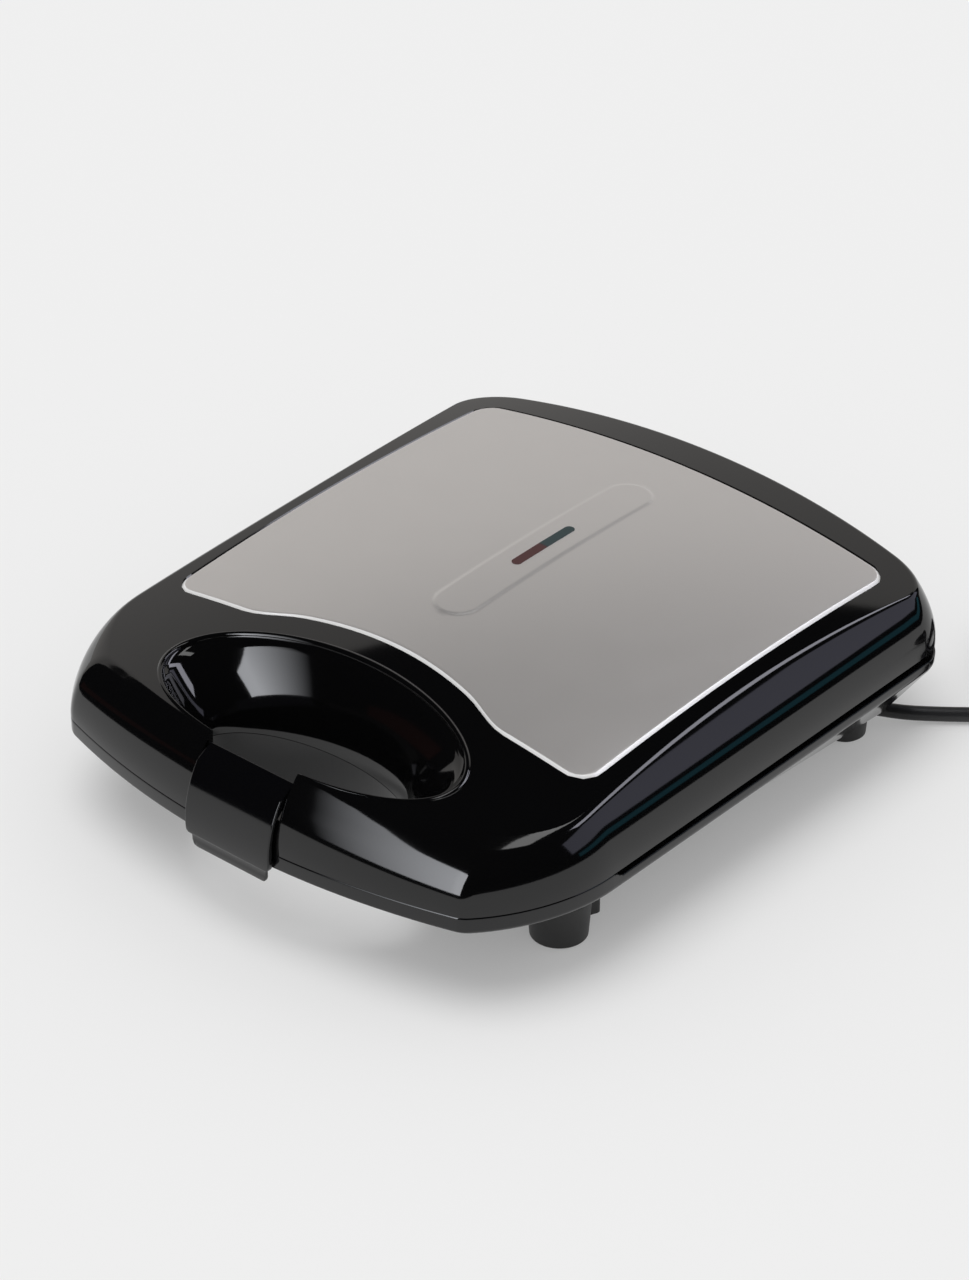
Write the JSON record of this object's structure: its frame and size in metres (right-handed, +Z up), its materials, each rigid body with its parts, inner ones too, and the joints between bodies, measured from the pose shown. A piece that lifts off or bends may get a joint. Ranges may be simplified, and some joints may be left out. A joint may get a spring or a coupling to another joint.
{
  "type": "sandwich maker",
  "caption": "Closed sandwich maker: domed lid with steel cover plate and lamp slot, oval hand opening, front latch clip, heating plates with triangular pockets, mains cord",
  "frame": {"origin": "middle of the object's outline, cord aside, on the table under the pads", "axes": "+Z up, +Y from the hand opening to the hinge, +X to the right as seen from the front"},
  "size_m": [0.4413, 0.4763, 0.0942],
  "materials": {
    "housing": "high-gloss black moulding",
    "base_black": "glossy black moulding",
    "cover_steel": "fine satin, neutral to slightly warm grey",
    "latch_black": "semi-gloss black",
    "lens_red": "dark translucent red",
    "lens_green": "dark translucent blue-green",
    "lamp": "clear",
    "plate_cast": "dark non-stick coating on cast aluminium",
    "heater": "oxidised sheath",
    "reflector": "bright mill finish",
    "fastener": "zinc plated",
    "pin_steel": "turned",
    "moulded_black": "fine matte",
    "insulator": "pale insulating moulding",
    "sleeve_white": "woven insulating sleeve",
    "pad_rubber": "matte",
    "cord_black": "satin",
    "pin_metal": "nickel plated"
  },
  "bodies": {
    "base": {"base_wiring": "sleeve_white", "bottom_cover": "moulded_black", "bottom_cover_screws": "fastener", "cord_coil": "cord_black", "cord_lead": "cord_black", "cord_tail": "cord_black", "cord_tie": "moulded_black", "foot_front_left": "moulded_black", "foot_front_right": "moulded_black", "foot_rear_left": "moulded_black", "foot_rear_right": "moulded_black", "hinge_pin_left": "pin_steel", "hinge_pin_right": "pin_steel", "lower_heating_element": "heater", "lower_heating_plate": "plate_cast", "lower_housing": "base_black", "lower_plate_screws": "fastener", "lower_reflector": "reflector", "lower_reflector_screws": "fastener", "lower_thermostat": "insulator", "pad_front_left": "pad_rubber", "pad_front_right": "pad_rubber", "pad_rear_left": "pad_rubber", "pad_rear_right": "pad_rubber", "plug_body": "moulded_black", "plug_pins": "pin_metal", "strain_relief": "cord_black", "terminal_block": "insulator", "thermal_fuse": "insulator"},
    "lid": {"upper_housing": "housing", "lid_frame": "moulded_black", "lid_frame_screws": "fastener", "lid_cover_plate": "cover_steel", "power_lens": "lens_red", "ready_lens": "lens_green", "lamp_holder": "insulator", "power_lamp": "lamp", "ready_lamp": "lamp", "upper_heating_plate": "plate_cast", "upper_heating_element": "heater", "upper_reflector": "reflector", "upper_reflector_screws": "fastener", "upper_thermostat": "insulator", "upper_plate_screws": "fastener", "lid_wiring": "sleeve_white", "latch_pin": "pin_steel"},
    "latch": {"latch_clip": "latch_black"}
  },
  "joints": [
    {"name": "lid_hinge", "type": "hinge", "parent": "base", "child": "lid", "pos_m": [0, 0.1676, 0.0385], "axis": [-1, 0, 0], "range_deg": [0, 100]},
    {"name": "latch_hinge", "type": "hinge", "parent": "lid", "child": "latch", "pos_m": [0, -0.1611, 0.0695], "axis": [-1, 0, 0], "range_deg": [0, 45]}
  ]
}
